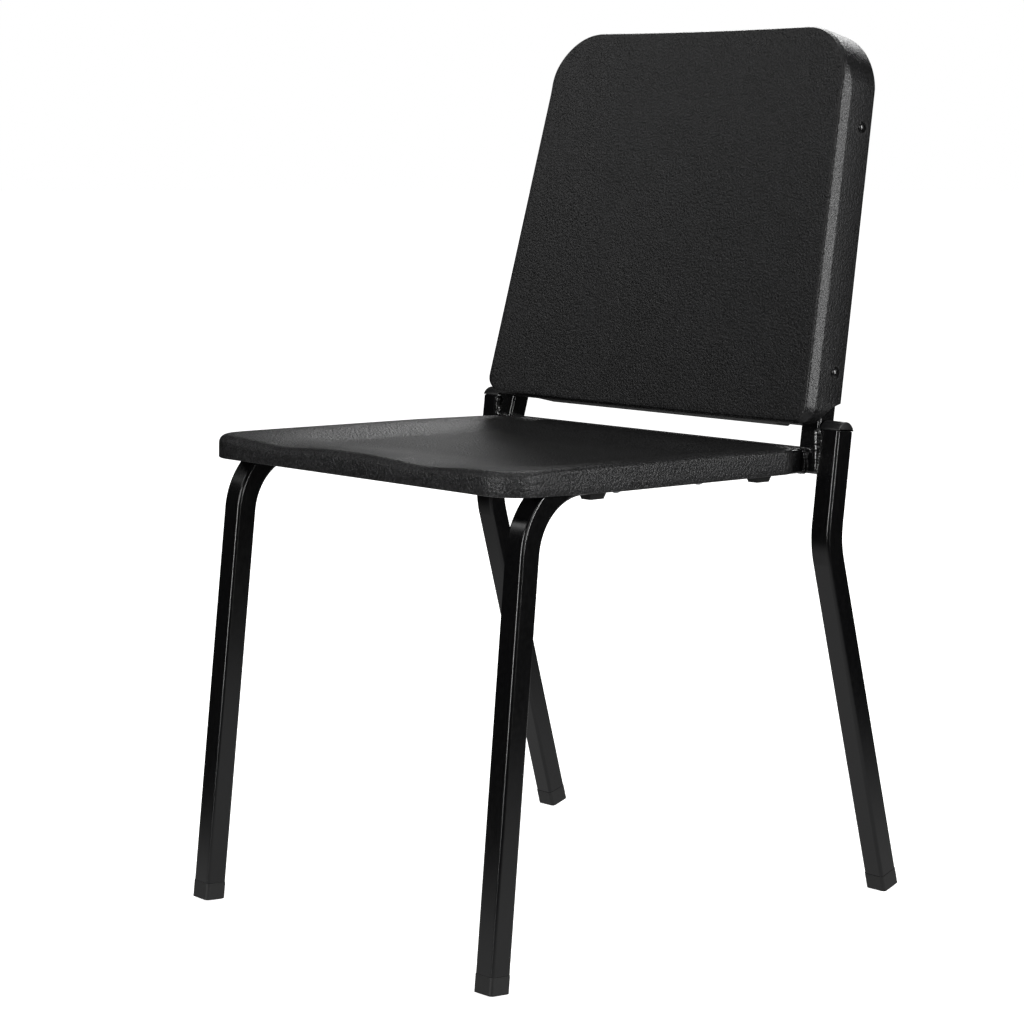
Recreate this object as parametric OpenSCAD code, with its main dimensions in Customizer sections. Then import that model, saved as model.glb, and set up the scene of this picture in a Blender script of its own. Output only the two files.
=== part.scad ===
// Stacking chair: bent square-tube frame, moulded seat panel, hollow moulded backrest.
// Millimetres, +Z up, floor at z = 0, front of the chair towards -Y.

/* [Seat] */
// Width of the seat panel
seat_width = 417; // [380:1:470]
// Depth of the seat panel, front edge to rear edge
seat_depth = 385.5; // [340:0.5:430]
// Height of the seat skirt's lower edge above the floor, carried straight to the front
seat_height = 423.5; // [360:0.1:470]
// Slope of the seat, down towards the rear, degrees
seat_tilt = 1.35; // [0:0.05:5]
// Height of the seat panel from the skirt's lower edge to the rim
seat_thickness = 24.4; // [24.2:0.1:32]
// Radius of the panel's corners seen from above
seat_corner = 34; // [30:1:60]
// How far the skirt's lower edge sweeps up at the front
front_rise = 2.5; // [0:0.1:5]
// Thickness of the panel's skirt
skirt_wall = 3; // [2:0.1:5]
// Depth of the dish below the rim
dish_depth = 8; // [4:0.5:8]
// Thickness of the panel under the dish
seat_skin = 3.5; // [2.5:0.1:4]
// Depth of each thigh hollow in the front edge
scoop_depth = 3.5; // [1:0.1:5]
// Radius rolled over the top of the front edge
front_roll = 8; // [4:0.5:12]

/* [Backrest] */
// Length of the backrest from its lower to its upper edge
back_length = 378.5; // [340:0.5:460]
// Depth of the backrest, front face to rear face at the sides
back_depth = 49.5; // [40:0.5:60]
// How far the backrest's rear face stands behind the uprights
back_behind = 5.2; // [4:0.1:10]
// Width of the cut-away at each lower rear corner of the backrest
notch_width = 62; // [40:1:80]
// Lean of the backrest from upright, degrees
back_lean = 13.1; // [8:0.1:20]
// Inward slope of each side of the backrest, degrees
back_taper = 3.9; // [0:0.1:6]
// Distance along the upright from the cross tube up to the backrest
back_gap = 19.8; // [12:0.1:60]
// Wall of the hollow backrest
back_wall = 2.6; // [2:0.1:4]
// How far the front face is hollowed at its middle
back_hollow = 10; // [2:0.5:14]
// Radius of the backrest's upper corners
back_top_corner = 60; // [30:1:80]
// Radius of the backrest's lower corners
back_low_corner = 18; // [8:1:30]

/* [Frame] */
// Outside size of the square frame tube
tube = 22.2; // [18:0.1:22.2]
// Wall of the frame tube
tube_wall = 1.5; // [1:0.1:2.5]
// Outside corner radius of the frame tube
tube_corner = 3; // [1:0.1:4]
// Centre-line radius of the front leg bend
front_bend = 63.5; // [50:0.5:80]
// Lean of the front legs, degrees
front_lean = 6.3; // [2:0.1:10]
// Outward splay of the front legs, degrees
front_splay = 0.8; // [0:0.1:3]
// Distance from the seat's front edge back to the corner of leg and rail
front_setback = 36.1; // [20:0.1:50]
// Lean of the rear legs below their bend, degrees
rear_lean = 15.35; // [8:0.05:18]
// Lean of the rear legs above their bend, degrees
rear_top_lean = 7.2; // [4:0.05:12]
// Height of the rear leg bend
rear_bend_height = 350; // [300:1:380]
// Centre-line radius of the rear leg bend
rear_bend = 90; // [70:1:120]
// How far the rear legs stand outside the seat panel, centre line
rear_offset = 19.7; // [18:0.1:30]
// Distance of the rear legs behind the middle of the rear cross tube
rear_leg_back = 1.6; // [0:0.1:8]
// Height of the rear leg tubes above the top of the rear cross tube
rear_leg_above = 18.9; // [14:0.1:40]
// Size of the square front cross tube
small_tube = 12.7; // [10:0.1:13]
// Distance from the seat's front edge back to the front cross tube
small_tube_back = 177.5; // [120:0.5:220]

/* [Fittings] */
// Height of a foot glide's head
glide_height = 16; // [10:0.5:25]
// How far glides and leg caps stand proud of the tube
cap_proud = 0.4; // [0:0.1:1]
// Height of a leg cap's dome
cap_height = 9; // [6:0.5:12]
// Length of the plug of a glide or cap inside its tube
plug_length = 15; // [8:1:25]
// Depth of the level strip where a glide meets the floor
contact_cut = 0.45; // [0.2:0.05:1]
// Length of a stacking bumper
bumper_length = 20; // [12:1:30]
// Height of a stacking bumper
bumper_height = 5.6; // [3:0.1:10]
// Width of a stacking bumper
bumper_width = 14; // [8:1:20]
// Distance of the front bumpers behind the seat's front edge
bumper_front = 115.5; // [100:0.5:140]
// Distance of the rear bumpers behind the seat's front edge
bumper_rear = 334.5; // [260:0.5:345]
// Distance of the front seat screws behind the seat's front edge
screw_front = 144.5; // [130:0.5:165]
// Distance of the rear seat screws behind the seat's front edge
screw_rear = 251.5; // [190:0.5:260]
// Shank diameter of the seat screws
seat_screw = 5; // [4:0.1:6]
// Head diameter of the seat screws
seat_screw_head = 9; // [7:0.1:12]
// Shank diameter of the back screws
back_screw = 5; // [4:0.1:6]
// Head diameter of the back screws
back_screw_head = 10.4; // [8:0.1:12]
// Distance along the upright to the lower back screws
back_screw_low = 72.3; // [60:0.1:100]
// Distance along the upright to the upper back screws
back_screw_high = 305.5; // [180:0.1:320]
// How far the uprights reach above the upper back screws
upright_above = 24; // [15:1:50]
// Gap between the seat skirt and the side rail
rail_gap = 2.4; // [1:0.1:5]
// Clearance between parts that fit inside one another
fit = 0.2; // [0.1:0.05:0.5]
// Radius of the weld beads
bead = 3.4; // [2:0.1:5]
// Length of the long bead between a rear leg and its upright
leg_weld_length = 39; // [30:1:39]

/* [Hidden] */
$fn = 48;
// a straight run reaches this far into the bend it joins
lap = 0.6;
// the bend's wall is fuller than the straight tube by this much on each face
swell = 0.04;
half = tube / 2;
rail_low = -0.9;
rail_mid = rail_low + half;
rail_top = rail_low + tube;
rail_x = seat_width / 2 - skirt_wall - rail_gap - half;
leg_x = seat_width / 2 + rear_offset;
leg_inner = leg_x - half;
cross_gap = 1.2;
cross_y = seat_depth + cross_gap + half;
upright_x = leg_inner - 0.1 - half / cos(back_taper);
// heights and depths measured from the seat's lower front edge, before the chair is centred
corner_y = front_setback * cos(seat_tilt) + rail_mid * sin(seat_tilt);
corner_z = seat_height - front_setback * sin(seat_tilt) + rail_mid * cos(seat_tilt);
base_y = cross_y * cos(seat_tilt) + rail_top * sin(seat_tilt);
base_z = seat_height - cross_y * sin(seat_tilt) + rail_top * cos(seat_tilt);
glide_half = half + cap_proud;
foot_z = glide_half * sin(front_lean) - contact_cut;
front_leg = (corner_z - foot_z) / cos(front_lean) / cos(front_splay);
front_foot_y = corner_y - (corner_z - foot_z) * tan(front_lean);
front_turn = 90 + seat_tilt - front_lean;
front_tangent = front_bend * tan(front_turn / 2);
rear_mid_y = base_y + rear_leg_back;
rear_bend_y = rear_mid_y - (base_z - rear_bend_height) * tan(rear_top_lean);
rear_foot_z = glide_half * sin(rear_lean) - contact_cut;
rear_low = (rear_bend_height - rear_foot_z) / cos(rear_lean);
rear_high = (base_z + rear_leg_above - rear_bend_height) / cos(rear_top_lean);
rear_turn = rear_lean + rear_top_lean;
rear_tangent = rear_bend * tan(rear_turn / 2);
back_rear = half + back_behind;
back_front = back_rear - back_depth;
back_bottom = back_gap;
back_top = back_gap + back_length;
upright_length = back_screw_high + upright_above;
shell_base = upright_x + half / cos(back_taper) + fit + back_wall;
notch_inner = shell_base - notch_width;
front_most = front_foot_y - glide_half * cos(front_lean);
rear_most = base_y + back_top * sin(back_lean) + back_rear * cos(back_lean);
middle = (front_most + rear_most) / 2;

// ---- placing ----

// Everything is built from the seat's lower front edge, then centred over the floor.
module placed() {
  translate([0, -middle, 0]) children();
}

// Frame of the seat: y runs back along the seat, z = 0 on the skirt's lower edge.
module on_seat() {
  placed() translate([0, 0, seat_height]) rotate([-seat_tilt, 0, 0]) children();
}

// Frame of the backrest: z runs up along the uprights from the rear cross tube's top.
module on_back() {
  placed() translate([0, base_y, base_z]) rotate([-back_lean, 0, 0]) children();
}

// Frame of one upright, turned in by the taper; side is -1 left, 1 right.
module on_upright(side) {
  on_back() translate([side * upright_x, 0, 0]) rotate([0, -side * back_taper, 0]) children();
}

// Frame of one front leg and rail: the corner of their centre lines, splayed about the rail.
module on_front_leg(side) {
  on_seat() translate([side * rail_x, front_setback, rail_mid])
    rotate([0, -side * front_splay, 0]) children();
}

// Frame of one rear leg: the corner of its two centre lines.
module on_rear_leg(side) {
  placed() translate([side * leg_x, rear_bend_y, rear_bend_height]) children();
}

// ---- shapes ----

// Square with round corners.
module soft_square(size, corner) {
  square([size, size - 2 * corner], center = true);
  square([size - 2 * corner, size], center = true);
  for (i = [-1, 1]) {
    for (j = [-1, 1]) {
      translate([i * (size / 2 - corner), j * (size / 2 - corner)]) circle(r = corner, $fn = 24);
    }
  }
}

// Section of a square tube.
module tube_section(size, wall, corner) {
  difference() {
    soft_square(size, corner);
    soft_square(size - 2 * wall, max(corner - wall, 0.6));
  }
}

// Straight length of frame tube along +z.
module tube_run(length) {
  linear_extrude(height = length) tube_section(tube, tube_wall, tube_corner);
}

// Bend of frame tube in the YZ plane: starts at the origin going up, turns towards +y.
module tube_bend(radius, angle) {
  translate([0, radius, 0]) rotate([90, 0, -90]) rotate_extrude(angle = angle, $fn = 120)
    translate([radius, 0]) tube_section(tube + 2 * swell, tube_wall + 2 * swell, tube_corner + swell);
}

// Plan of the seat panel, grown or shrunk by an inset.
module seat_plan(inset) {
  r = seat_corner - inset;
  x = seat_width / 2 - seat_corner;
  y0 = seat_corner;
  y1 = seat_depth - seat_corner;
  translate([-x, inset]) square([2 * x, seat_depth - 2 * inset]);
  translate([-x - r, y0]) square([2 * (x + r), y1 - y0]);
  for (i = [-1, 1]) {
    translate([i * x, y0]) circle(r = r, $fn = 96);
    translate([i * x, y1]) circle(r = r, $fn = 96);
  }
}

// Side view of the seat panel: y to the right, z up, with the rolled front edge.
module seat_side() {
  difference() {
    union() {
      square([seat_depth, seat_thickness - front_roll]);
      translate([front_roll, 0]) square([seat_depth - front_roll, seat_thickness]);
      translate([front_roll, seat_thickness - front_roll]) circle(r = front_roll, $fn = 96);
    }
    polygon([[-1, -1], [-1, front_rise], [0, front_rise], [40, front_rise * 0.7],
             [85, front_rise * 0.44], [135, 0], [135, -1]]);
  }
}

// Trough with a flat floor and upswept sides: rim at y = 0, floor at y = -depth.
module trough(flat, reach, depth) {
  run = reach - flat;
  sweep = (run * run + depth * depth) / (2 * depth);
  translate([-flat, -depth]) square([2 * flat, depth + 6]);
  for (i = [-1, 1]) {
    translate([i * flat, sweep - depth]) circle(r = sweep, $fn = 240);
  }
}

// What the dish takes out of the seat's top.
module dish_tool() {
  across = seat_width / 2 - 27;
  along = seat_depth / 2 - 22;
  translate([0, seat_depth / 2 + 6, seat_thickness]) intersection() {
    translate([0, seat_depth / 2, 0]) rotate([90, 0, 0])
      linear_extrude(height = seat_depth) trough(across - 62, across, dish_depth + 1.5);
    translate([-seat_width / 2, 0, 0]) rotate([90, 0, 90])
      linear_extrude(height = seat_width) trough(along - 80, along, dish_depth);
  }
}

// One thigh hollow, fading out towards the middle of the seat.
module thigh_tool() {
  reach = 62;
  hollow = (reach * reach + scoop_depth * scoop_depth) / (2 * scoop_depth);
  translate([0, -1, seat_thickness - 0.4]) rotate([2.2, 0, 0])
    translate([0, 0, hollow - scoop_depth]) rotate([-90, 0, 0])
      cylinder(r = hollow, h = 120, $fn = 360);
}

// Front view of the backrest: z up along the uprights.
module back_outline(inset) {
  slope = tan(back_taper);
  low = back_bottom + inset;
  high = back_top - inset;
  side = shell_base - inset / cos(back_taper);
  rt = back_top_corner - inset;
  rl = back_low_corner - inset;
  xt = side - (high - rt) * slope - rt + 1.2;
  xl = side - (low + rl) * slope - rl + 0.3;
  intersection() {
    polygon([[-side + low * slope, low], [side - low * slope, low],
             [side - high * slope, high], [-side + high * slope, high]]);
    union() {
      translate([-side, low - 1]) square([2 * side, high - rt - low + 1]);
      translate([-xt, high - rt - 1]) square([2 * xt, rt + 1]);
      for (i = [-1, 1]) {
        translate([i * xt, high - rt]) circle(r = rt, $fn = 144);
      }
    }
    union() {
      translate([-side, low + rl]) square([2 * side, high - low - rl + 1]);
      translate([-xl, low]) square([2 * xl, rl + 1]);
      for (i = [-1, 1]) {
        translate([i * xl, low + rl]) circle(r = rl, $fn = 96);
      }
    }
  }
}

// Body of the backrest with its hollowed front face, shrunk by an inset for the inside.
module back_body(inset) {
  reach = shell_base - back_bottom * tan(back_taper);
  curve = (reach * reach + back_hollow * back_hollow) / (2 * back_hollow);
  difference() {
    translate([0, back_rear - inset, 0]) rotate([90, 0, 0])
      linear_extrude(height = back_depth - 2 * inset) back_outline(inset);
    translate([0, back_front + back_hollow - curve + inset, back_bottom - 10])
      cylinder(r = curve, h = back_length + 20, $fn = 720);
  }
}

// Rounds off the lower rear edge of the backrest.
module back_heel(radius, inset) {
  y = back_rear - inset - radius;
  z = back_bottom + inset + radius;
  difference() {
    translate([-seat_width / 2, y, z - radius - 1])
      cube([seat_width, radius + 1, radius + 1]);
    translate([-seat_width / 2 - 1, y, z]) rotate([0, 90, 0])
      cylinder(r = radius, h = seat_width + 2, $fn = 96);
  }
}

// Open corner below each upright.
module back_notch() {
  y = -half;
  z = back_bottom;
  rotate([90, 0, 90]) linear_extrude(height = 80)
    polygon([[y - 0.6, z - 9], [y + 0.4, z + 3], [y + 1.9, z + 9], [y + 5.9, z + 15.5],
             [y + 13.9, z + 21], [y + 21.9, z + 25], [y + 31.9, z + 29], [y + 31.9, z - 9]]);
}

// Solid reach of one upright, used to trim what is welded to it.
module upright_reach(side) {
  on_upright(side) translate([0, 0, -20]) linear_extrude(height = 120) soft_square(tube, tube_corner);
}

// Solid reach of one rear leg above its bend.
module leg_reach(side) {
  on_rear_leg(side) rotate([-rear_top_lean, 0, 0])
    linear_extrude(height = rear_high) soft_square(tube, tube_corner);
}

// Solid reach of one side rail up to the rear cross tube.
module rail_reach(side) {
  on_front_leg(side) rotate([-90, 0, 0])
    linear_extrude(height = cross_y - half - front_setback) soft_square(tube, tube_corner);
}

// Solid reach of the rear cross tube.
module cross_reach() {
  on_seat() translate([-leg_inner, cross_y, rail_mid]) rotate([0, 90, 0])
    linear_extrude(height = 2 * leg_inner) soft_square(tube, tube_corner);
}

// Plug that closes a tube end: a hollow shank along +z.
module plug() {
  difference() {
    linear_extrude(height = plug_length)
      soft_square(tube - 2 * tube_wall - 2 * fit, max(tube_corner - tube_wall, 0.6));
    translate([0, 0, 3]) linear_extrude(height = plug_length) soft_square(tube - 2 * tube_wall - 5, 1);
  }
}

// Foot glide: a block under the tube end and a plug inside it.
module glide() {
  translate([0, 0, glide_height]) plug();
  linear_extrude(height = glide_height) soft_square(tube + 2 * cap_proud, tube_corner + cap_proud);
}

// Everything below the floor.
module floor_cut() {
  translate([-400, -400, -50]) cube([800, 800, 50]);
}

// ---- nodes ----

module seat_panel() {
  color([0.09, 0.09, 0.1]) difference() {
    on_seat() difference() {
      intersection() {
        linear_extrude(height = seat_thickness + 1) seat_plan(0);
        translate([-seat_width, 0, 0]) rotate([90, 0, 90])
          linear_extrude(height = 2 * seat_width) seat_side();
      }
      dish_tool();
      for (i = [-1, 1]) {
        translate([i * seat_width * 0.23, 0, 0]) thigh_tool();
      }
      translate([0, 0, -1]) linear_extrude(height = seat_thickness - dish_depth - seat_skin + 1)
        seat_plan(skirt_wall);
      for (i = [-1, 1]) {
        intersection() {
          translate([i * rail_x - half - 3, skirt_wall, -1])
            cube([tube + 6, seat_depth, rail_top + fit + 1]);
          translate([0, 0, -2]) linear_extrude(height = seat_thickness) seat_plan(skirt_wall);
        }
        translate([i * rail_x - half - 0.6, seat_depth - 60, -1])
          cube([tube + 1.2, 70, rail_top + fit + 1]);
        for (y = [screw_front, screw_rear]) {
          translate([i * rail_x, y, 0]) cylinder(d = seat_screw + 0.1, h = rail_top + 2.5, $fn = 24);
        }
      }
    }
  }
}

module backrest_shell() {
  color([0.09, 0.09, 0.1]) on_back() difference() {
    back_body(0);
    difference() {
      back_body(back_wall);
      back_heel(22, back_wall);
    }
    back_heel(24, 0);
    for (i = [-1, 1]) {
      translate([i * upright_x, 0, 0]) rotate([0, -i * back_taper, 0])
        translate([-half - fit, -half - fit, 0])
          cube([tube + 2 * fit, tube + 2 * fit, back_bottom + back_low_corner + 4]);
      mirror([i < 0 ? 1 : 0, 0, 0]) translate([notch_inner, 0, 0]) back_notch();
      for (z = [back_screw_low, back_screw_high]) {
        translate([i * upright_x, 0, 0]) rotate([0, -i * back_taper, 0])
          translate([0, 0, z]) rotate([0, i * 90, 0]) cylinder(d = back_screw + 0.4, h = 30, $fn = 24);
      }
    }
  }
}

module front_leg_rail(side) {
  color([0.05, 0.05, 0.055]) difference() {
    on_front_leg(side) {
      rotate([seat_tilt - front_lean, 0, 0]) translate([0, 0, -front_leg + glide_height])
        tube_run(front_leg - glide_height - front_tangent + lap);
      rotate([seat_tilt - front_lean, 0, 0]) translate([0, 0, -front_tangent])
        tube_bend(front_bend, front_turn);
      translate([0, front_tangent - lap, 0]) rotate([-90, 0, 0])
        tube_run(cross_y - half - front_setback - front_tangent + lap);
    }
    on_seat() for (y = [screw_front, screw_rear]) {
      translate([side * rail_x, y, -5]) cylinder(d = seat_screw + 0.6, h = 40, $fn = 24);
    }
  }
}

module left_front_leg_rail() { front_leg_rail(-1); }
module right_front_leg_rail() { front_leg_rail(1); }

module rear_leg(side) {
  color([0.05, 0.05, 0.055]) on_rear_leg(side) {
    rotate([rear_lean, 0, 0]) translate([0, 0, -rear_low + glide_height])
      tube_run(rear_low - glide_height - rear_tangent + lap);
    rotate([rear_lean, 0, 0]) translate([0, 0, -rear_tangent]) tube_bend(rear_bend, rear_turn);
    rotate([-rear_top_lean, 0, 0]) translate([0, 0, rear_tangent - lap])
      tube_run(rear_high - rear_tangent + lap);
  }
}

module left_rear_leg() { rear_leg(-1); }
module right_rear_leg() { rear_leg(1); }

module back_upright(side) {
  color([0.05, 0.05, 0.055]) difference() {
    on_upright(side) translate([0, 0, -20]) tube_run(upright_length + 20);
    on_seat() translate([-300, cross_y - 60, rail_top - 60]) cube([600, 120, 60]);
    on_upright(side) for (z = [back_screw_low, back_screw_high]) {
      translate([0, 0, z]) rotate([0, side * 90, 0]) cylinder(d = back_screw + 0.1, h = 20, $fn = 24);
    }
  }
}

module left_back_upright() { back_upright(-1); }
module right_back_upright() { back_upright(1); }

module front_cross_tube() {
  color([0.05, 0.05, 0.055]) difference() {
    on_seat() translate([-rail_x, small_tube_back, rail_low + 0.3 + small_tube / 2])
      rotate([0, 90, 0]) linear_extrude(height = 2 * rail_x)
        tube_section(small_tube, tube_wall, 1.8);
    rail_reach(-1);
    rail_reach(1);
  }
}

module rear_cross_tube() {
  color([0.05, 0.05, 0.055]) on_seat() translate([-leg_inner, cross_y, rail_mid])
    rotate([0, 90, 0]) linear_extrude(height = 2 * leg_inner)
      tube_section(tube, tube_wall, tube_corner);
}

module front_glide(side) {
  color([0.04, 0.04, 0.04]) difference() {
    on_front_leg(side) rotate([seat_tilt - front_lean, 0, 0]) translate([0, 0, -front_leg]) glide();
    floor_cut();
  }
}

module rear_glide(side) {
  color([0.04, 0.04, 0.04]) difference() {
    on_rear_leg(side) rotate([rear_lean, 0, 0]) translate([0, 0, -rear_low]) glide();
    floor_cut();
  }
}

module left_front_glide() { front_glide(-1); }
module right_front_glide() { front_glide(1); }
module left_rear_glide() { rear_glide(-1); }
module right_rear_glide() { rear_glide(1); }

module leg_cap(side) {
  wide = tube + 2 * cap_proud;
  rise = cap_height - 1;
  dome = (wide * wide / 4 + rise * rise) / (2 * rise);
  color([0.04, 0.04, 0.04]) on_rear_leg(side) rotate([-rear_top_lean, 0, 0])
    translate([0, 0, rear_high]) {
      rotate([180, 0, 0]) plug();
      intersection() {
        linear_extrude(height = 30) soft_square(wide, tube_corner + cap_proud);
        translate([-wide, 0, cap_height - dome]) rotate([0, 90, 0])
          cylinder(r = dome, h = 2 * wide, $fn = 144);
      }
    }
}

module left_leg_cap() { leg_cap(-1); }
module right_leg_cap() { leg_cap(1); }

module bumper(side, y) {
  w = bumper_width / 2;
  l = bumper_length / 2;
  color([0.04, 0.04, 0.04]) on_front_leg(side) translate([0, y - front_setback, -half]) {
    intersection() {
      translate([0, l, 0]) rotate([90, 0, 0]) linear_extrude(height = 2 * l)
        polygon([[-w, 0], [-w + 1.5, -bumper_height], [w - 1.5, -bumper_height], [w, 0]]);
      translate([-w, 0, 0]) rotate([90, 0, 90]) linear_extrude(height = 2 * w)
        polygon([[-l, 0], [-l + 1.8, -bumper_height], [l - 1.8, -bumper_height], [l, 0]]);
    }
  }
}

module left_front_bumper() { bumper(-1, bumper_front); }
module right_front_bumper() { bumper(1, bumper_front); }
module left_rear_bumper() { bumper(-1, bumper_rear); }
module right_rear_bumper() { bumper(1, bumper_rear); }

// Pan head screw pointing along +z with the underside of its head at z = 0.
module pan_screw(shank, length, head, height) {
  difference() {
    union() {
      cylinder(d = shank, h = length, $fn = 24);
      intersection() {
        translate([0, 0, -height]) cylinder(d = head, h = height, $fn = 36);
        translate([0, 0, head * 0.62 - height]) sphere(r = head * 0.62, $fn = 36);
      }
    }
    translate([0, 0, -height - 1]) cylinder(d = head * 0.34, h = height * 0.6 + 1, $fn = 6);
  }
}

module seat_screws() {
  color([0.3, 0.3, 0.32]) on_seat() for (i = [-1, 1]) {
    for (y = [screw_front, screw_rear]) {
      translate([i * rail_x, y, rail_low - 0.1])
        pan_screw(seat_screw, rail_top + 2.4 - rail_low, seat_screw_head, 2.6);
    }
  }
}

module back_screws() {
  color([0.03, 0.03, 0.03]) for (i = [-1, 1]) {
    for (z = [back_screw_low, back_screw_high]) {
      on_upright(i) translate([i * (half + fit + back_wall), 0, z]) rotate([0, -i * 90, 0])
        pan_screw(back_screw, back_wall + fit + tube_wall + 3, back_screw_head, 2.4);
    }
  }
}

// Bead round the end of a side rail where it meets the rear cross tube.
module rail_weld(side) {
  reach = half - 0.6;
  color([0.06, 0.06, 0.065]) difference() {
    on_front_leg(side) translate([0, cross_y - half - front_setback, 0]) {
      for (i = [-1, 1]) {
        translate([i * reach, 0, -reach]) cylinder(r = bead, h = 2 * reach, $fn = 24);
        translate([-reach, 0, i * reach]) rotate([0, 90, 0]) cylinder(r = bead, h = 2 * reach, $fn = 24);
        for (j = [-1, 1]) {
          translate([i * reach, 0, j * reach]) sphere(r = bead, $fn = 24);
        }
      }
    }
    rail_reach(side);
    cross_reach();
    leg_reach(side);
    on_seat() translate([-300, 0, rail_top]) cube([600, seat_depth + 0.4, 40]);
    on_seat() translate([-300, 0, -20]) cube([600, seat_depth - 4, 60]);
    on_front_leg(side) translate([-half + 0.1, -20, -half + 0.1])
      cube([tube - 0.2, 600, tube - 0.2]);
  }
}

module left_rail_weld() { rail_weld(-1); }
module right_rail_weld() { rail_weld(1); }

// Long bead up the front of the joint between rear leg and upright.
module leg_weld(side) {
  color([0.06, 0.06, 0.065]) difference() {
    on_rear_leg(side) rotate([-rear_top_lean, 0, 0])
      translate([-side * (half + 0.6), -half - 0.2, rear_high - 3 - leg_weld_length])
        cylinder(r = bead + 1, h = leg_weld_length, $fn = 24);
    leg_reach(side);
    upright_reach(side);
    cross_reach();
  }
}

module left_leg_weld() { leg_weld(-1); }
module right_leg_weld() { leg_weld(1); }

// Lobe of weld at the foot of an upright, over the cross tube's front edge.
module upright_weld(side) {
  color([0.06, 0.06, 0.065]) difference() {
    on_seat() translate([side * (upright_x - 3), cross_y - half + 1, rail_top]) {
      rotate([0, 90, 0]) translate([0, 0, -4]) cylinder(r = bead + 1, h = 8, $fn = 24);
      for (i = [-1, 1]) {
        translate([i * 4, 0, 0]) sphere(r = bead + 1, $fn = 24);
      }
    }
    upright_reach(side);
    cross_reach();
    on_seat() translate([-300, 0, -20]) cube([600, seat_depth + 0.3, 80]);
    on_seat() translate([-300, cross_y - half, rail_top - 30]) cube([600, 60, 30]);
  }
}

module left_upright_weld() { upright_weld(-1); }
module right_upright_weld() { upright_weld(1); }

module front_cross_welds() {
  color([0.06, 0.06, 0.065]) difference() {
    on_seat() for (i = [-1, 1]) {
      for (j = [-1, 1]) {
        translate([i * (rail_x - half), small_tube_back + j * small_tube / 2, rail_low + 2.5])
          cylinder(r = 2.2, h = small_tube - 4.4, $fn = 24);
      }
    }
    on_seat() translate([-rail_x, small_tube_back, rail_low + 0.3 + small_tube / 2])
      rotate([0, 90, 0]) linear_extrude(height = 2 * rail_x) soft_square(small_tube, 1.8);
    rail_reach(-1);
    rail_reach(1);
  }
}

seat_panel();
backrest_shell();
left_front_leg_rail();
right_front_leg_rail();
left_rear_leg();
right_rear_leg();
left_back_upright();
right_back_upright();
front_cross_tube();
rear_cross_tube();
left_front_glide();
right_front_glide();
left_rear_glide();
right_rear_glide();
left_leg_cap();
right_leg_cap();
left_front_bumper();
right_front_bumper();
left_rear_bumper();
right_rear_bumper();
seat_screws();
back_screws();
left_rail_weld();
right_rail_weld();
left_leg_weld();
right_leg_weld();
left_upright_weld();
right_upright_weld();
front_cross_welds();
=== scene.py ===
# %% [markdown]
# # Stacking chair
# A black stacking chair: two bent side frames of square steel tube, a dished moulded seat, and a hollow moulded
# backrest on two short uprights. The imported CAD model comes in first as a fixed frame. Tubes keep their CAD shape and
# get a real finish. Moulded parts, welds, caps and screws are modelled again here with softer edges and real texture.

# %% Load the frame
import math

import bmesh
import bpy
from mathutils import Matrix, Vector, noise


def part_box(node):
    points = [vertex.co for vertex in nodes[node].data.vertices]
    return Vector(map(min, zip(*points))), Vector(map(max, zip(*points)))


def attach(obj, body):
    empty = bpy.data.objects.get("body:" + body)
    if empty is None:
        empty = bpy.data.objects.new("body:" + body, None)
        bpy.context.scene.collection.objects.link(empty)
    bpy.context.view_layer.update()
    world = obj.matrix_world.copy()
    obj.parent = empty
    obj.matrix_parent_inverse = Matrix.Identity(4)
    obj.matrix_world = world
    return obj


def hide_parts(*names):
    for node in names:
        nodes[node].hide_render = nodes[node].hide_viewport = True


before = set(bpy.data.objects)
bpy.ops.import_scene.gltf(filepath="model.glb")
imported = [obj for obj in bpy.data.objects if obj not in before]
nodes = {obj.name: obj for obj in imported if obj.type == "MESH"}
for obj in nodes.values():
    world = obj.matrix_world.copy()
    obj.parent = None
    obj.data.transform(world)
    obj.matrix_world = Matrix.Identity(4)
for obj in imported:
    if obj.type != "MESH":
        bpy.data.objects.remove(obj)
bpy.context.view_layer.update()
scene = bpy.context.scene
MM = 0.001

# %% [markdown]
# ## Camera
# A long lens from a little above the seat, turned about 46 degrees to the chair's front, keeps the legs nearly
# parallel, as a product picture does. There is no depth of field.

# %% Camera
camera_data = bpy.data.cameras.new("camera")
camera_data.sensor_width = 36.0
camera_data.lens = 93.02
camera = bpy.data.objects.new("camera", camera_data)
camera.location = (1.7834, -1.7492, 0.7307)
camera.rotation_euler = (math.radians(81.79), 0.0, math.radians(46.18))
scene.collection.objects.link(camera)
scene.camera = camera
print("camera lens", camera_data.lens)

# %% [markdown]
# ## Helpers for colours and nodes
# Colours are picked as sRGB hex and turned to linear once. One function adds a node, sets its inputs and links it.


# %% Colour and node helpers
def linear(hex_code):
    parts = [int(hex_code[i : i + 2], 16) / 255 for i in (1, 3, 5)]
    return tuple(c / 12.92 if c <= 0.04045 else ((c + 0.055) / 1.055) ** 2.4 for c in parts) + (1.0,)


def add_node(tree, kind, settings=None, **inputs):
    """Adds a node; inputs are sockets by name (spaces as _) or by number (i0, i1, ...)."""
    node = tree.nodes.new(kind)
    for key, value in (settings or {}).items():
        setattr(node, key, value)
    for key, value in inputs.items():
        by_number = key[0] == "i" and key[1:].isdigit()
        socket = node.inputs[int(key[1:])] if by_number else node.inputs[key.replace("_", " ")]
        if isinstance(value, bpy.types.NodeSocket):
            tree.links.new(value, socket)
        else:
            socket.default_value = value
    return node


# %% [markdown]
# ## Studio
# A wide pale floor and soft panels of light. A black chair shows mostly what it reflects, so the surround stays dark
# for reflections and the panels draw the lines: one at the front left for the broad faces, one at the front right for
# the tube corners and the right sides, one above for the seat, and two behind for the other side of the chair.

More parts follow.
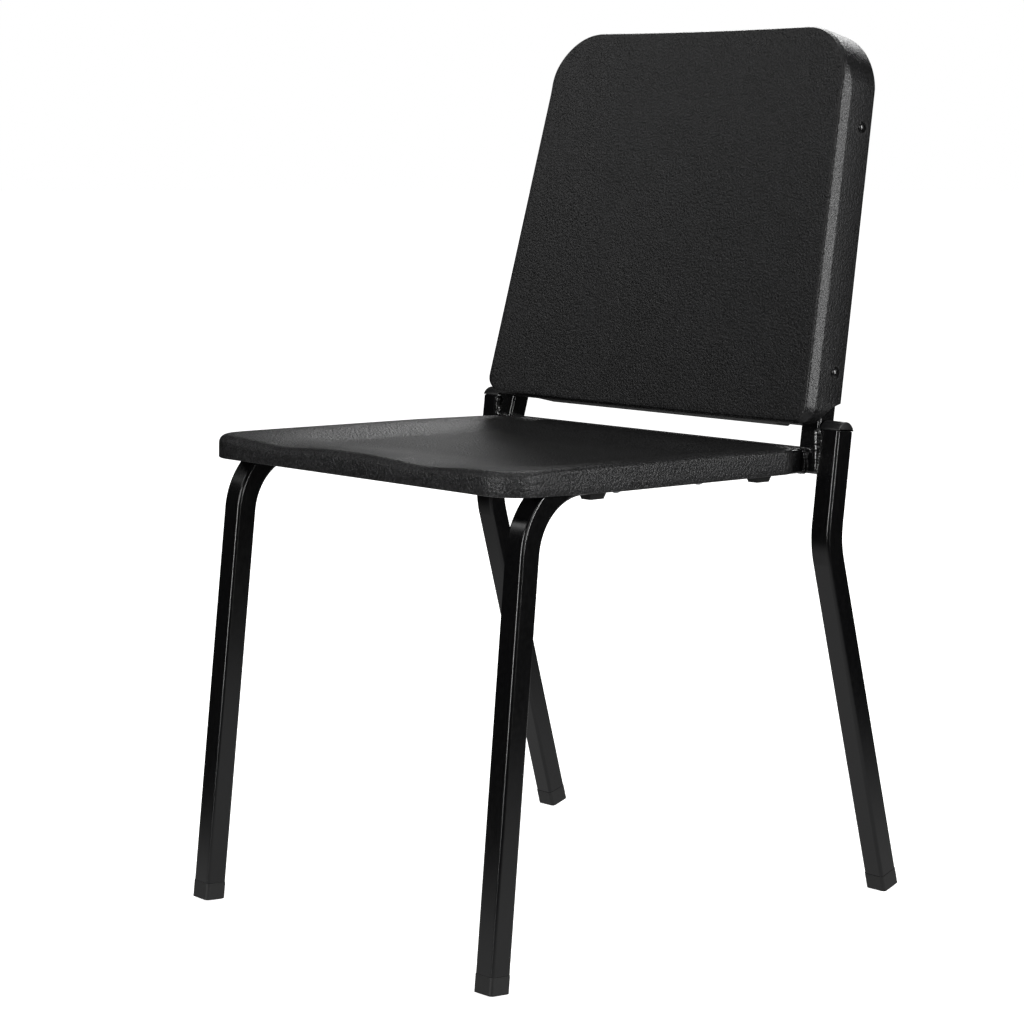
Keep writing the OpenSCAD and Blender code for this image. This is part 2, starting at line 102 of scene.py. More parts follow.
# %% Floor, surround and lights
scene.view_settings.view_transform = "Standard"
floor_mesh = bpy.data.meshes.new("floor")
shape = bmesh.new()
bmesh.ops.create_circle(shape, cap_ends=True, segments=96, radius=30.0)
shape.to_mesh(floor_mesh)
shape.free()
floor = bpy.data.objects.new("floor", floor_mesh)
scene.collection.objects.link(floor)

paper = bpy.data.materials.new("white studio paper")
paper.use_nodes = True
tree = paper.node_tree
tree.nodes.clear()
rays = add_node(tree, "ShaderNodeLightPath")
lit_paper = add_node(tree, "ShaderNodeBsdfDiffuse", Color=linear("#f2f2f1"))
glow = add_node(tree, "ShaderNodeEmission", Color=linear("#ffffff"), Strength=0.9)
seen = add_node(tree, "ShaderNodeAddShader", i0=lit_paper.outputs[0], i1=glow.outputs[0])
# in reflections the paper glows with a painted pool of light: an emission, bright under the chair and fading with
# distance, that stands in for studio light
spot = add_node(tree, "ShaderNodeTexCoord")
reach = add_node(tree, "ShaderNodeVectorMath", {"operation": "LENGTH"}, i0=spot.outputs["Object"])
pool = add_node(
    tree, "ShaderNodeMapRange", {"interpolation_type": "SMOOTHSTEP"}, Value=reach.outputs["Value"],
    From_Min=0.35, From_Max=1.3, To_Min=0.5, To_Max=0.015,
)
# painted light: this glow is seen only in reflections and is lit by no lamp
painted_light_pool = add_node(tree, "ShaderNodeEmission", Color=linear("#ffffff"), Strength=pool.outputs[0])
paper_mix = add_node(
    tree, "ShaderNodeMixShader", i0=rays.outputs["Is Camera Ray"], i1=painted_light_pool.outputs[0], i2=seen.outputs[0]
)
add_node(tree, "ShaderNodeOutputMaterial", Surface=paper_mix.outputs[0])
floor_mesh.materials.append(paper)

world = bpy.data.worlds.new("studio surround")
scene.world = world
world.use_nodes = True
tree = world.node_tree
tree.nodes.clear()
rays = add_node(tree, "ShaderNodeLightPath")
surround = add_node(tree, "ShaderNodeBackground", Color=linear("#ffffff"), Strength=0.02)
backdrop = add_node(tree, "ShaderNodeBackground", Color=linear("#ffffff"), Strength=1.0)
world_mix = add_node(
    tree, "ShaderNodeMixShader", i0=rays.outputs["Is Camera Ray"], i1=surround.outputs[0], i2=backdrop.outputs[0]
)
add_node(tree, "ShaderNodeOutputWorld", Surface=world_mix.outputs[0])


def softbox(name, place, aim, width, height, watts):
    data = bpy.data.lights.new(name, "AREA")
    data.shape = "RECTANGLE"
    data.size = width
    data.size_y = height
    data.energy = watts
    lamp = bpy.data.objects.new(name, data)
    lamp.location = place
    lamp.rotation_euler = (Vector(aim) - Vector(place)).to_track_quat("-Z", "Y").to_euler()
    lamp.visible_camera = False
    scene.collection.objects.link(lamp)
    return lamp


sky = bpy.data.objects.new("sky_light", bpy.data.lights.new("sky_light", "SUN"))
sky.data.energy = 0.8
sky.data.angle = math.radians(70)
scene.collection.objects.link(sky)
softbox("key_left", (-2.3, -2.3, 2.5), (0, 0, 0.5), 1.4, 1.2, 11)
softbox("front_strip", (0.3, -3.3, 1.0), (0, 0, 0.5), 0.4, 1.9, 58)
softbox("front_right", (2.6, -0.9, 1.5), (0, 0, 0.5), 0.8, 1.6, 7)
softbox("right_edge", (2.8, 0.75, 1.1), (0, 0, 0.5), 0.3, 1.9, 48)
softbox("overhead_back", (-1.2, 2.2, 2.2), (0, 0, 0.4), 1.6, 1.2, 36)
softbox("right_back", (2.4, 2.0, 1.4), (0, 0, 0.5), 0.8, 1.6, 7)

# %% [markdown]
# ## Finishes
# Every finish is black, so the surface tells them apart. The frame is powder coated: smooth and half glossy, with the
# faint waves of melted powder. Seat and backrest are moulded polypropylene with a pebbled grain that scatters light.
# Glides, caps and bumpers are plain moulded plastic and rubber. Screws are plated steel.


# %% Material builder
def finish(name, colour, colour_to, roughness, specular, grains, metallic=0.0, coat=0.0, blotch_mm=40.0):
    """A surface with blotchy colour between two close shades, and bumps given as (grain in mm, height in mm, detail)."""
    material = bpy.data.materials.new(name)
    material.use_nodes = True
    tree = material.node_tree
    bsdf = tree.nodes["Principled BSDF"]
    place = add_node(tree, "ShaderNodeTexCoord")
    blotches = add_node(
        tree, "ShaderNodeTexNoise", Vector=place.outputs["Object"], Scale=1000 / blotch_mm, Detail=3.0, Roughness=0.6
    )
    speckle = add_node(
        tree, "ShaderNodeTexNoise", Vector=place.outputs["Object"], Scale=1000 / grains[0][0], Detail=2.0, Roughness=0.6
    )
    both = add_node(
        tree, "ShaderNodeMath", {"operation": "MULTIPLY_ADD"}, i0=blotches.outputs[0], i1=0.25, i2=speckle.outputs[0]
    )
    amount = add_node(tree, "ShaderNodeMapRange", Value=both.outputs[0], From_Min=0.47, From_Max=0.78)
    tint = add_node(
        tree, "ShaderNodeMix", {"data_type": "RGBA"}, i0=amount.outputs[0], i6=linear(colour), i7=linear(colour_to)
    )
    tree.links.new(tint.outputs[2], bsdf.inputs["Base Color"])
    rough = add_node(
        tree, "ShaderNodeMapRange", Value=both.outputs[0], From_Min=0.4, From_Max=0.85,
        To_Min=roughness - 0.02, To_Max=roughness + 0.02,
    )
    tree.links.new(rough.outputs[0], bsdf.inputs["Roughness"])
    normal = None
    for grain_mm, height_mm, detail in grains:
        cells = add_node(
            tree, "ShaderNodeTexNoise", Vector=place.outputs["Object"], Scale=1000 / grain_mm, Detail=detail, Roughness=0.55
        )
        bump = add_node(tree, "ShaderNodeBump", Strength=1.0, Distance=height_mm * MM, Height=cells.outputs[0])
        if normal:
            tree.links.new(normal, bump.inputs["Normal"])
        normal = bump.outputs[0]
    tree.links.new(normal, bsdf.inputs["Normal"])
    bsdf.inputs["Metallic"].default_value = metallic
    bsdf.inputs["Specular IOR Level"].default_value = specular
    bsdf.inputs["Coat Weight"].default_value = coat
    bsdf.inputs["Coat Roughness"].default_value = 0.2
    return material


# %% Materials
# Melted powder levels out to faint waves a few millimetres long, over a half-gloss black.
powder_coat = finish("black powder coat on steel", "#070708", "#0a0a0b", 0.19, 0.5, [(5.0, 0.004, 1.0), (1.0, 0.0012, 1.0)])
# Pebbled moulding grain is about 1 mm; it is drawn about 2.3 mm across so that it shows.
pebbled_seat = finish("pebbled black polypropylene seat", "#060606", "#282829", 0.36, 0.5, [(2.4, 1.3, 3.0)])
pebbled_back = finish("pebbled black polypropylene back", "#080808", "#1d1d1e", 0.35, 0.5, [(2.2, 0.6, 3.0)])
# Glides are plain nylon, dull from the mould and from floor dust.
nylon_glide = finish("black moulded nylon glides", "#141414", "#1c1c1c", 0.5, 0.4, [(1.2, 0.05, 2.0)])
nylon_cap = finish("black moulded polyethylene caps", "#121213", "#181819", 0.36, 0.5, [(1.6, 0.03, 2.0)])
rubber = finish("black moulded rubber bumpers", "#151515", "#1c1c1b", 0.6, 0.35, [(1.0, 0.05, 2.0)])
zinc = finish("zinc plated steel screws", "#8d8f92", "#b4b6b8", 0.32, 0.5, [(0.7, 0.01, 2.0)], metallic=1.0)
black_oxide = finish("black oxide steel screws", "#0b0b0c", "#121213", 0.22, 0.6, [(0.8, 0.01, 1.0)], coat=0.3)
# A weld under powder coat: lumpy and smoother than the tube, because the coat runs thick over it.
coated_weld = finish("powder coated weld bead", "#0c0c0d", "#141415", 0.2, 0.6, [(2.2, 0.12, 2.0)])
print("materials", len(bpy.data.materials))

# %% Finishes on the CAD tubes
for name, node in nodes.items():
    if node.data.materials[0].name.startswith("frame_paint"):
        node.data.materials[0] = powder_coat


# %% [markdown]
# ## Turning a bmesh into a piece
# Every new piece goes through one function: it recalculates normals, shades smooth except on real edges, takes its
# material and slot, rides on the one rigid body, and stands for its CAD nodes.


# %% Piece maker
def piece(name, shape, material, replaced, angle=40, into=None):
    if into is not None:
        bmesh.ops.transform(shape, matrix=into, verts=shape.verts)
    bmesh.ops.recalc_face_normals(shape, faces=shape.faces)
    mesh = bpy.data.meshes.new(name)
    shape.to_mesh(mesh)
    shape.free()
    mesh.materials.append(material)
    for polygon in mesh.polygons:
        polygon.use_smooth = True
    mesh.set_sharp_from_angle(angle=math.radians(angle))
    obj = bpy.data.objects.new(name, mesh)
    scene.collection.objects.link(obj)
    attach(obj, "root")
    if replaced:
        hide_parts(*replaced)
    print(name, len(mesh.polygons), "faces")
    return obj


def subtract(obj, cutter_shape):
    """Cuts a shape out of a finished piece, then throws the cutter away."""
    mesh = bpy.data.meshes.new("cutter")
    bmesh.ops.recalc_face_normals(cutter_shape, faces=cutter_shape.faces)
    cutter_shape.to_mesh(mesh)
    cutter_shape.free()
    cutter = bpy.data.objects.new("cutter", mesh)
    scene.collection.objects.link(cutter)
    modifier = obj.modifiers.new("cut", "BOOLEAN")
    modifier.operation = "DIFFERENCE"
    modifier.solver = "EXACT"
    modifier.object = cutter
    bpy.context.view_layer.update()
    evaluated = obj.evaluated_get(bpy.context.evaluated_depsgraph_get())
    result = bpy.data.meshes.new_from_object(evaluated)
    obj.modifiers.clear()
    obj.data = result
    bpy.data.objects.remove(cutter)


def smooth_again(obj, angle):
    for polygon in obj.data.polygons:
        polygon.use_smooth = True
    obj.data.set_sharp_from_angle(angle=math.radians(angle))


def block(shape, low, high):
    """Adds a box between two corners, in millimetres."""
    centre = [(a + b) / 2 for a, b in zip(low, high)]
    size = [b - a for a, b in zip(low, high)]
    place = Matrix.Translation(centre) @ Matrix.Diagonal((*size, 1.0))
    return bmesh.ops.create_cube(shape, size=1.0, matrix=place)["verts"]


def ease(t):
    t = min(max(t, 0.0), 1.0)
    return t * t * (3 - 2 * t)


# %% [markdown]
# ## Frames of the seat and the backrest
# The seat slopes back a little and the backrest leans, so each is built in its own frame in millimetres: x across,
# y back, z up. The seat's frame starts at the front lower edge, the backrest's on top of the rear cross tube.

# %% Frames
seat_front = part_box("seat_panel")[0].y
seat_frame = (
    Matrix.Translation((0, seat_front, 0.4235)) @ Matrix.Rotation(math.radians(-1.35), 4, "X") @ Matrix.Scale(MM, 4)
)
back_frame = (
    Matrix.Translation((0, seat_front + 0.39819, 0.43542))
    @ Matrix.Rotation(math.radians(-13.1), 4, "X")
    @ Matrix.Scale(MM, 4)
)
print("seat front at", round(seat_front, 4))


# %% [markdown]
# ## A panel from a grid
# Seat and backrest are both a dished face inside a rounded outline, with an edge that rolls over into a wall. A grid
# is mapped into the outline for the face. Its border is then extruded ring by ring along the edge's profile. Two
# layers on the vertices remember where each one sits on the grid, and an extruded vertex inherits them.


# %% Outline and rings
def outline_point(u, v, half_wide, half_high, low_corner, high_corner, kink=0.0):
    """Where grid point (u, v) falls inside a rounded rectangle. kink is how sharply a high corner meets its side."""
    ring = max(abs(u), abs(v), 1e-9)
    a, b = u / ring, v / ring
    r = high_corner if b > 0 else low_corner
    start = math.radians(kink) if b > 0 else 0.0
    middle_x = half_wide - r * math.cos(start)
    straight = half_high - r + r * math.sin(start)
    if abs(a) >= abs(b):
        t = abs(b) * half_high
        if t <= straight:
            x, y = half_wide, t
        else:
            turn = start + (math.pi / 4 - start) * (t - straight) / (half_high - straight)
            x, y = middle_x + r * math.cos(turn), half_high - r + r * math.sin(turn)
    else:
        t = abs(a) * half_wide
        if t <= middle_x:
            x, y = t, half_high
        else:
            turn = math.pi / 2 - math.pi / 4 * (t - middle_x) / (half_wide - middle_x)
            x, y = middle_x + r * math.cos(turn), half_high - r + r * math.sin(turn)
    return ring * math.copysign(x, a), ring * math.copysign(y, b)


def ringed_panel(across, along, first, rings, close=True):
    """first(u, v) places the grid; each of rings places the border again, and the last ring is closed by a face."""
    shape = bmesh.new()
    bmesh.ops.create_grid(shape, x_segments=across, y_segments=along, size=1.0)
    keep_u = shape.verts.layers.float.new("u")
    keep_v = shape.verts.layers.float.new("v")
    for vert in shape.verts:
        vert[keep_u], vert[keep_v] = vert.co.x, vert.co.y
        vert.co = first(vert.co.x, vert.co.y)
    border = [edge for edge in shape.edges if edge.is_boundary]
    for place in rings:
        made = bmesh.ops.extrude_edge_only(shape, edges=border)["geom"]
        for vert in (item for item in made if isinstance(item, bmesh.types.BMVert)):
            vert.co = place(vert[keep_u], vert[keep_v])
        border = [item for item in made if isinstance(item, bmesh.types.BMEdge) and item.is_boundary]
    if close:
        bmesh.ops.contextual_create(shape, geom=border)
    return shape


# %% [markdown]
# ## Seat
# A one-piece moulding: a rim round a shallow dish, two thigh hollows in the front edge with a low ridge between, a
# rolled front edge and a skirt that hides the side rails. A cushion tool such as cloth is no use here, as it is hard
# plastic; a function of x and y gives the dish and hollows exactly. The rings go on round the
# skirt's lower edge and up inside to the ceiling, then two channels are cut for the rails and ribs are added.

# %% Seat shape
SEAT_WIDE, SEAT_DEEP, SEAT_HIGH = 417.0, 385.5, 24.4
SEAT_CORNER = 34.0
RAIL_X, RAIL_TOP, TUBE = 192.0, 21.3, 22.2


def seat_top(x, y):
    """Height of the seat's upper face over the skirt line."""
    side = ease((SEAT_WIDE / 2 - 13 - abs(x)) / 66)
    depth = ease((y - 16) / 105) * ease((SEAT_DEEP - 15 - y) / 62)
    hollow = 3.7 * math.exp(-(((abs(x) - 98) / 44) ** 2)) * (1 - ease((y - 4) / 120))
    sag_back = 1.2 * ease((y - 250) / 130)
    return SEAT_HIGH - 8.0 * side * depth - hollow - sag_back


def skirt_line(y):
    return 2.5 * max(0.0, 1 - y / 135)


def seat_roll(v):
    """Radius of the rolled edge: 8 mm along the front, 4.5 mm elsewhere."""
    return 4.5 + 3.5 * ease((-v - 0.7) / 0.3)


def seat_plan_point(u, v, inset):
    x, y = outline_point(
        u, v, SEAT_WIDE / 2 - inset, SEAT_DEEP / 2 - inset, SEAT_CORNER - inset, SEAT_CORNER - inset
    )
    return x, y + SEAT_DEEP / 2


def seat_face(u, v):
    x, y = seat_plan_point(u, v, seat_roll(v))
    return Vector((x, y, seat_top(x, y)))


def seat_edge(turn):
    def place(u, v):
        roll = seat_roll(v)
        rim = seat_face(u, v)
        x, y = seat_plan_point(u, v, roll * (1 - math.sin(turn)))
        return Vector((x, y, rim.z - roll * (1 - math.cos(turn))))

    return place


def seat_skirt(inset, rise):
    def place(u, v):
        x, y = seat_plan_point(u, v, inset)
        return Vector((x, y, skirt_line(y) + rise))

    return place


def seat_cavity(inset, height):
    def place(u, v):
        x, y = seat_plan_point(u, v, inset)
        return Vector((x, y, height))

    return place


SEAT_CEILING = 12.4
seat_rings = [seat_edge(math.radians(a)) for a in range(13, 92, 13)]
seat_rings += [seat_skirt(0.0, 8.0), seat_skirt(0.0, 1.2), seat_skirt(0.35, 0.35), seat_skirt(1.2, 0.0)]
seat_rings += [seat_skirt(3.0, 0.0), seat_cavity(3.0, 4.0), seat_cavity(3.6, SEAT_CEILING)]
seat_shape = ringed_panel(120, 110, seat_face, seat_rings)
seat = piece("seat_moulding", seat_shape, pebbled_seat, ["seat_panel"], into=seat_frame)

# %% Rail channels and ribs
channels = bmesh.new()
for side in (-1, 1):
    low = (side * RAIL_X - TUBE / 2 - 0.6, 24.0, -4.0)
    high = (side * RAIL_X + TUBE / 2 + 0.6, SEAT_DEEP + 20, RAIL_TOP + 0.2)
    block(channels, low, high)
bmesh.ops.transform(channels, matrix=seat_frame, verts=channels.verts)
subtract(seat, channels)

ribs = bmesh.new()
inner = RAIL_X - TUBE / 2 - 3.0
for x in (-120, -60, 0, 60, 120):
    # each long rib stops short of the front cross tube
    block(ribs, (x - 1.25, 6, 2.0), (x + 1.25, 168, SEAT_CEILING + 1.0))
    block(ribs, (x - 1.25, 187, 2.0), (x + 1.25, 382, SEAT_CEILING + 1.0))
for y in (60, 115, 240, 300, 345):
    block(ribs, (-inner, y - 1.25, 2.0), (inner, y + 1.25, SEAT_CEILING + 1.0))
seat_ribs = piece("seat_ribs", ribs, pebbled_seat, [], into=seat_frame)
smooth_again(seat, 40)
print("seat", len(seat.data.polygons), "faces")

# %% [markdown]
# ## Backrest
# A hollow moulding with a gently hollowed front, big upper corners and a flat bevel about 8 mm wide down each front
# edge, which catches the light as two lines. Its walls are 2.6 mm thick. At each lower rear corner it is cut away so
# that the uprights can go in. It is the same ringed panel as the seat, stood up, with a second, smaller one cut out
# of it for the inside.

# %% Backrest shape
BACK_BASE, BACK_SLOPE = 219.8, math.tan(math.radians(3.9))
BACK_LOW, BACK_HIGH = 19.8, 398.3
BACK_FRONT, BACK_REAR = -33.2, 16.3
BACK_HOLLOW, BACK_WALL = 10.0, 2.6
TOP_CORNER, LOW_CORNER = 60.0, 18.0


def back_outline(u, v, inset):
    middle = (BACK_LOW + BACK_HIGH) / 2
    half_high = (BACK_HIGH - BACK_LOW) / 2 - inset
    wide_at_middle = BACK_BASE - middle * BACK_SLOPE - inset
    x, z = outline_point(
        u, v, wide_at_middle, half_high, max(LOW_CORNER - inset, 4.0), TOP_CORNER - inset, kink=7.0
    )
    return x * (wide_at_middle - z * BACK_SLOPE) / wide_at_middle, z + middle


def edge_size(u, v):
    """Full bevel down the sides, about half of it along the top and the corners."""
    down_side = ease((abs(u) - 0.9) / 0.1) * ease((0.86 - v) / 0.2)
    return 0.5 + 0.5 * down_side


def back_front_y(x):
    return BACK_FRONT + BACK_HOLLOW * (1 - (x / 218.4) ** 2)


EDGE_INSET = 5.2


def back_face(u, v):
    x, z = back_outline(u, v, EDGE_INSET * edge_size(u, v))
    return Vector((x, back_front_y(x), z))


def back_edge(inset, drop):
    def place(u, v):
        size = edge_size(u, v)
        x, z = back_outline(u, v, inset * size)
        return Vector((x, back_front_y(back_face(u, v).x) + drop * size, z))

    return place


def back_wall(inset, y):
    def place(u, v):
        x, z = back_outline(u, v, inset)
        return Vector((x, y, z))

    return place


back_rings = [
    back_edge(*step)
    for step in ((4.6, 0.08), (4.05, 0.33), (3.6, 0.8), (3.25, 1.45), (2.2, 4.2), (1.15, 6.9), (0.8, 7.7), (0.5, 8.4), (0.22, 9.2), (0.05, 10.1), (0.0, 11.0))
]
heel = 4.5
back_rings += [back_wall(0.0, BACK_REAR - heel)]
for a in range(18, 91, 18):
    t = math.radians(a)
    back_rings.append(back_wall(heel * (1 - math.cos(t)), BACK_REAR - heel * (1 - math.sin(t))))
back_shape = ringed_panel(96, 96, back_face, back_rings)
back = piece("backrest_moulding", back_shape, pebbled_back, ["backrest_shell"], into=back_frame)


# %% Hollow and notch the backrest
def inner_face(u, v):
    x, z = back_outline(u, v, BACK_WALL + 5)
    return Vector((x, back_front_y(x) + BACK_WALL, z))


inside = ringed_panel(40, 40, inner_face, [back_wall(BACK_WALL, BACK_FRONT + 14), back_wall(BACK_WALL, BACK_REAR - BACK_WALL)])
bmesh.ops.transform(inside, matrix=back_frame, verts=inside.verts)
subtract(back, inside)

NOTCH = ((21.5, -9), (22.5, 3), (24, 9), (28, 15.5), (36, 21), (44, 25), (56, 30), (56, -9))
for side in (-1, 1):
    notch = bmesh.new()
    corners = [
        notch.verts.new((side * (BACK_BASE - 62), BACK_FRONT + y, BACK_LOW + z)) for y, z in NOTCH
    ]
    end = bmesh.ops.extrude_face_region(notch, geom=[notch.faces.new(corners)])["geom"]
    bmesh.ops.translate(
        notch, vec=(side * 80, 0, 0), verts=[item for item in end if isinstance(item, bmesh.types.BMVert)]
    )
    bmesh.ops.transform(notch, matrix=back_frame, verts=notch.verts)
    subtract(back, notch)
smooth_again(back, 35)
print("backrest", len(back.data.polygons), "faces")

# %% [markdown]
# ## Frames of the legs and uprights
# Welds, caps and back screws sit on the tubes, so they are built in the tubes' own frames. The upper run of a rear leg
# leans back 7.2 degrees; each upright leans with the backrest and is turned in 3.9 degrees.

# %% Leg and upright frames
HALF = TUBE / 2
LEG_X, LEG_TOP = 228.2, 105.15
UPRIGHT_X = 205.87
RAIL_END = SEAT_DEEP + 1.2


def leg_frame(side):
    place = Matrix.Translation((side * LEG_X * MM, seat_front + 0.3890, 0.350))
    return place @ Matrix.Rotation(math.radians(-7.2), 4, "X") @ Matrix.Scale(MM, 4)


def upright_frame(side):
    turn = Matrix.Rotation(math.radians(-side * 3.9), 4, "Y")
    return back_frame @ Matrix.Translation((side * UPRIGHT_X, 0, 0)) @ turn


SIDES = (("left", -1), ("right", 1))

# %% [markdown]
# ## Leg caps
# A moulded plug closes each rear leg. Its top is a dome seen from the side, with flat D-shaped ends that have a small
# rounded rim. A neck a little smaller than the cap leaves the dark seam over the tube. The dome is one arc extruded
# across the leg, so its ends can be bevelled in one step.


# %% Leg caps
def cap_shape():
    shape = bmesh.new()
    wide, rise, base = HALF + 0.3, 7.9, 1.0
    dome = (wide * wide + rise * rise) / (2 * rise)
    reach = math.asin(wide / dome)
    outline = [(-wide, 0.5), (-wide, base)]
    outline += [
        (dome * math.sin(reach * t / 12), base + rise - dome + dome * math.cos(reach * t / 12)) for t in range(-11, 12)
    ]
    outline += [(wide, base), (wide, 0.5)]
    corners = [shape.verts.new((-wide, y, z)) for y, z in outline]
    end = bmesh.ops.extrude_face_region(shape, geom=[shape.faces.new(corners)])["geom"]
    bmesh.ops.translate(shape, vec=(2 * wide, 0, 0), verts=[v for v in end if isinstance(v, bmesh.types.BMVert)])
    rims = [e for e in shape.edges if abs(e.verts[0].co.x - e.verts[1].co.x) < 0.01]
    bmesh.ops.bevel(shape, geom=rims, affect="EDGES", offset=1.3, segments=4, profile=0.5, material=-1)
    block(shape, (-9.4, -9.4, -15.0), (9.4, 9.4, 0.8))
    return shape


for side_name, side in SIDES:
    place = leg_frame(side) @ Matrix.Translation((0, 0, LEG_TOP))
    piece(side_name + "_cap", cap_shape(), nylon_cap, [side_name + "_leg_cap"], into=place)

# %% [markdown]
# ## Welds
# The beads are laid by hand: overlapping puddles that ripple, swell and wander. Each bead is a row of small balls
# whose size and place vary by a noise of their place, melted into one skin by a voxel remesh and then relaxed.


# %% Weld maker
def puddles(start, end, r_start, r_end, step, wander, seed):
    """Balls along a line, in millimetres: each is (place, radius)."""
    start, end = Vector(start), Vector(end)
    count = max(2, int((end - start).length / step))
    row = []
    for i in range(count + 1):
        t = i / count
        shift = noise.noise_vector(Vector((seed, i * 0.61, 0.0))) * wander
        radius = (r_start + (r_end - r_start) * t) * (1 + 0.25 * wander * noise.noise(Vector((i * 0.73, seed, 0.0))))
        row.append((start.lerp(end, t) + shift, radius))
    return row


def weld(name, balls, into, replaced, voxel=0.45):
    shape = bmesh.new()
    for place, radius in balls:
        bmesh.ops.create_icosphere(shape, subdivisions=2, radius=radius, matrix=Matrix.Translation(place))
    mesh = bpy.data.meshes.new(name)
    shape.to_mesh(mesh)
    shape.free()
    raw = bpy.data.objects.new(name + "_raw", mesh)
    scene.collection.objects.link(raw)
    remesh = raw.modifiers.new("melt", "REMESH")
    remesh.mode = "VOXEL"
    remesh.voxel_size = voxel
    bpy.context.view_layer.update()
    melted = bpy.data.meshes.new_from_object(raw.evaluated_get(bpy.context.evaluated_depsgraph_get()))
    bpy.data.objects.remove(raw)
    shape = bmesh.new()
    shape.from_mesh(melted)
    for _ in range(2):
        bmesh.ops.smooth_vert(shape, verts=shape.verts, factor=0.5, use_axis_x=True, use_axis_y=True, use_axis_z=True)
    return piece(name, shape, coated_weld, replaced, angle=180, into=into)


# %% Long bead between rear leg and upright
for side_name, side in SIDES:
    inner = -side * HALF
    balls = puddles((inner - side * 1.6, -HALF - 0.8, LEG_TOP - 3.5), (inner + side * 0.2, -HALF - 0.2, LEG_TOP - 39), 5.0, 2.3, 0.8, 0.35, 3.1)
    balls += puddles((inner - side * 4.4, -HALF + 0.9, LEG_TOP - 13), (inner - side * 2.2, -HALF + 0.2, LEG_TOP - 34), 3.8, 2.6, 0.8, 0.35, 5.7)
    balls += puddles((inner + side * 3.4, -HALF - 0.1, LEG_TOP - 5), (inner + side * 2.6, -HALF + 0.2, LEG_TOP - 40), 1.7, 1.4, 2.4, 0.8, 8.3)
    weld(side_name + "_leg_bead", balls, leg_frame(side), [side_name + "_leg_weld"])

# %% Beads round the rail ends
for side_name, side in SIDES:
    edge = side * (RAIL_X + HALF)
    low, high = RAIL_TOP - TUBE, RAIL_TOP
    balls = puddles((edge, RAIL_END - 1.2, low + 2.5), (edge, RAIL_END - 1.2, high - 2), 2.9, 3.0, 2.6, 1.1, 1.3)
    balls += puddles((edge + side * 3.2, RAIL_END + 0.5, low + 3), (edge + side * 2.8, RAIL_END + 0.5, high - 3), 1.8, 1.7, 2.2, 0.9, 4.9)
    balls += puddles((edge - side * 1.5, RAIL_END - 0.8, high - 1.6), (edge - side * 19, RAIL_END - 0.8, high - 1.6), 2.2, 2.0, 2.0, 0.6, 2.2)
    balls += puddles((edge - side * 1.5, RAIL_END - 1.0, low + 1.2), (edge - side * 20, RAIL_END - 1.0, low + 1.2), 2.4, 2.2, 2.0, 0.7, 6.4)
    balls += puddles((edge - side * TUBE, RAIL_END - 1.0, low + 2), (edge - side * TUBE, RAIL_END - 1.0, high - 2), 2.6, 2.6, 2.2, 0.7, 7.5)
    weld(side_name + "_rail_bead", balls, seat_frame, [side_name + "_rail_weld"])

# %% Lobes at the feet of the uprights
for side_name, side in SIDES:
    foot = side * (UPRIGHT_X - 1)
    balls = puddles((foot - side * 5, RAIL_END + 1.6, RAIL_TOP + 0.6), (foot + side * 4, RAIL_END + 1.6, RAIL_TOP + 0.2), 3.6, 3.6, 1.0, 0.5, 9.1)
    balls += puddles((foot - side * 1, RAIL_END + 1.0, RAIL_TOP - 0.5), (foot - side * 2, RAIL_END + 0.8, RAIL_TOP - 7), 3.2, 2.2, 1.0, 0.4, 2.7)
    balls += puddles((foot - side * 9, RAIL_END + 3.2, RAIL_TOP + 0.8), (foot + side * 9, RAIL_END + 2.8, RAIL_TOP + 0.8), 1.6, 1.6, 1.7, 0.5, 5.2)
    weld(side_name + "_upright_bead", balls, seat_frame, [side_name + "_upright_weld"])

# %% Small beads where the front cross tube meets the rails
balls = []
for side_name, side in SIDES:
    for along in (177.5 - 6.4, 177.5 + 6.4):
        spot = side * (RAIL_X - HALF - 0.6)
        balls += puddles((spot, along, 2.2), (spot, along, 9.6), 1.9, 1.8, 1.5, 0.4, side + along)
weld("front_cross_beads", balls, seat_frame, ["front_cross_welds"], voxel=0.35)

# %% [markdown]
# ## Screws
# Button heads with a hexagon socket, turned as a profile and cut. The backrest's are black and sit in a shallow ring
# moulded into the wall; the seat's come up through the rails from below and are bright zinc.


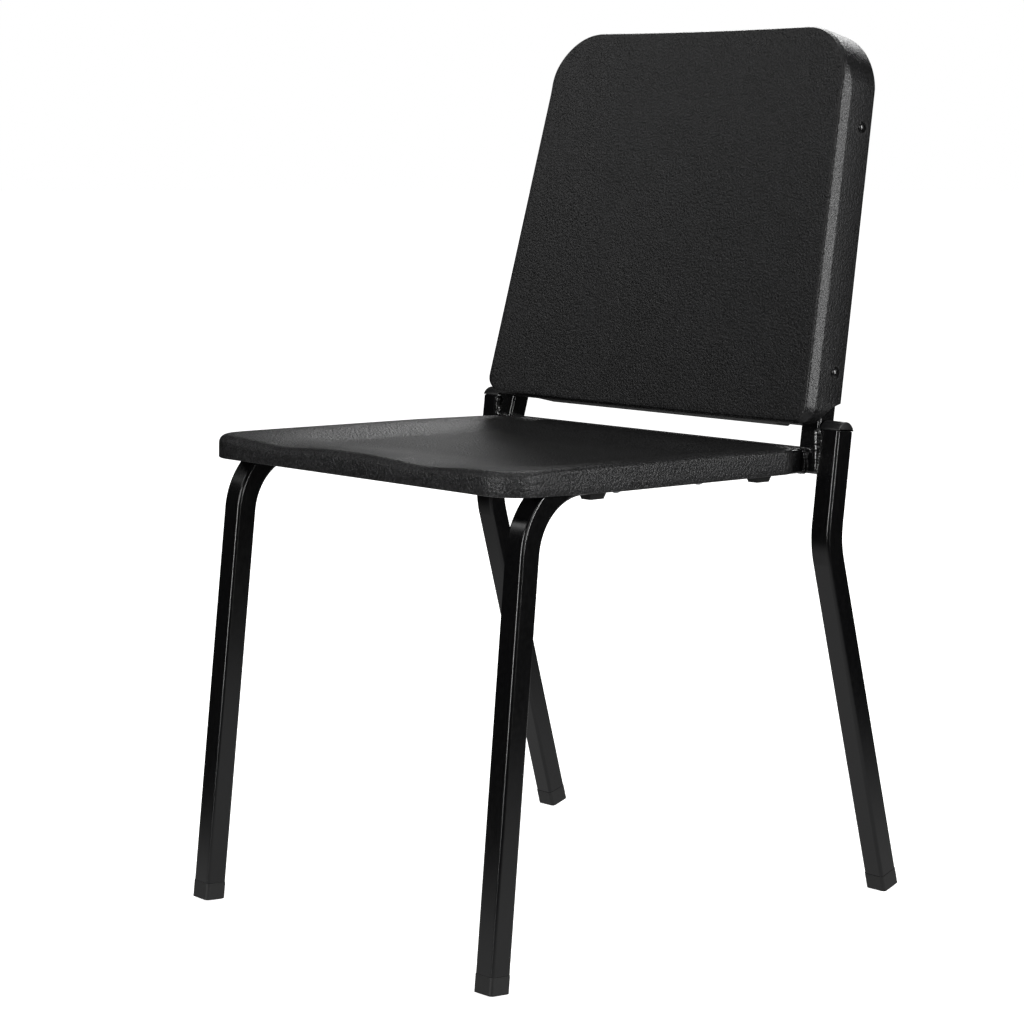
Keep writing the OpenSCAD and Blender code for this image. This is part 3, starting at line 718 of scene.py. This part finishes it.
# %% Screw maker
def screws(name, places, head, rise, shank, length, material, replaced):
    """Each place maps a screw that points along +z, with the underside of its head at z = 0."""
    shape = bmesh.new()
    sockets = bmesh.new()
    dome = (head * head / 4 + (rise - 0.5) ** 2) / (2 * (rise - 0.5))
    reach = math.asin(head / 2 / dome)
    for place in places:
        outline = [Vector((0, 0, -rise))]
        outline += [
            Vector((dome * math.sin(reach * t / 8), 0, -rise + dome - dome * math.cos(reach * t / 8)))
            for t in range(1, 9)
        ]
        outline += [Vector((head / 2, 0, -0.2)), Vector((head / 2 - 0.2, 0, 0)), Vector((shank / 2, 0, 0))]
        outline += [Vector((shank / 2, 0, length)), Vector((0, 0, length))]
        verts = [shape.verts.new(v) for v in outline]
        edges = [shape.edges.new(pair) for pair in zip(verts, verts[1:])]
        spun = bmesh.ops.spin(
            shape, geom=verts + edges, cent=(0, 0, 0), axis=(0, 0, 1), angle=math.tau, steps=36, use_merge=True
        )
        made = {v for f in shape.faces for v in f.verts if not v.tag}
        bmesh.ops.transform(shape, matrix=place, verts=list(made))
        for vert in shape.verts:
            vert.tag = True
        socket = bmesh.ops.create_cone(
            sockets, cap_ends=True, segments=6, radius1=head * 0.2, radius2=head * 0.2, depth=2.4,
            matrix=place @ Matrix.Translation((0, 0, -rise - 0.4)),
        )
    bmesh.ops.remove_doubles(shape, verts=shape.verts, dist=0.005 * MM)
    obj = piece(name, shape, material, replaced, angle=30)
    subtract(obj, sockets)
    smooth_again(obj, 30)
    return obj


# %% Seat and back screws
seat_places = [
    seat_frame @ Matrix.Translation((side * RAIL_X, y, RAIL_TOP - TUBE - 0.1)) for side in (-1, 1) for y in (144.5, 251.5)
]
screws("seat_zinc_screws", seat_places, 9.0, 2.6, 5.0, 23.8, zinc, ["seat_screws"])
back_places = []
rings = bmesh.new()
for side_name, side in SIDES:
    for along in (72.3, 305.5):
        face = upright_frame(side) @ Matrix.Translation((side * (HALF + 0.2 + BACK_WALL), 0, along))
        face = face @ Matrix.Rotation(math.radians(-side * 90), 4, "Y")
        back_places.append(face @ Matrix.Translation((0, 0, 0.5)))
        bmesh.ops.create_cone(
            rings, cap_ends=True, segments=48, radius1=6.3, radius2=5.9, depth=2.0,
            matrix=face @ Matrix.Translation((0, 0, -0.4)),
        )
subtract(back, rings)
smooth_again(back, 35)
screws("back_button_screws", back_places, 10.4, 2.8, 5.0, 6.0, black_oxide, ["back_screws"])

# %% [markdown]
# ## Glides and bumpers
# These keep their CAD shape: a tapered block is what they are. Only the finish changes.

# %% Finishes on the CAD glides and bumpers
for name, node in nodes.items():
    if "glide" in name:
        node.data.materials[0] = nylon_glide
    elif "bumper" in name:
        node.data.materials[0] = rubber
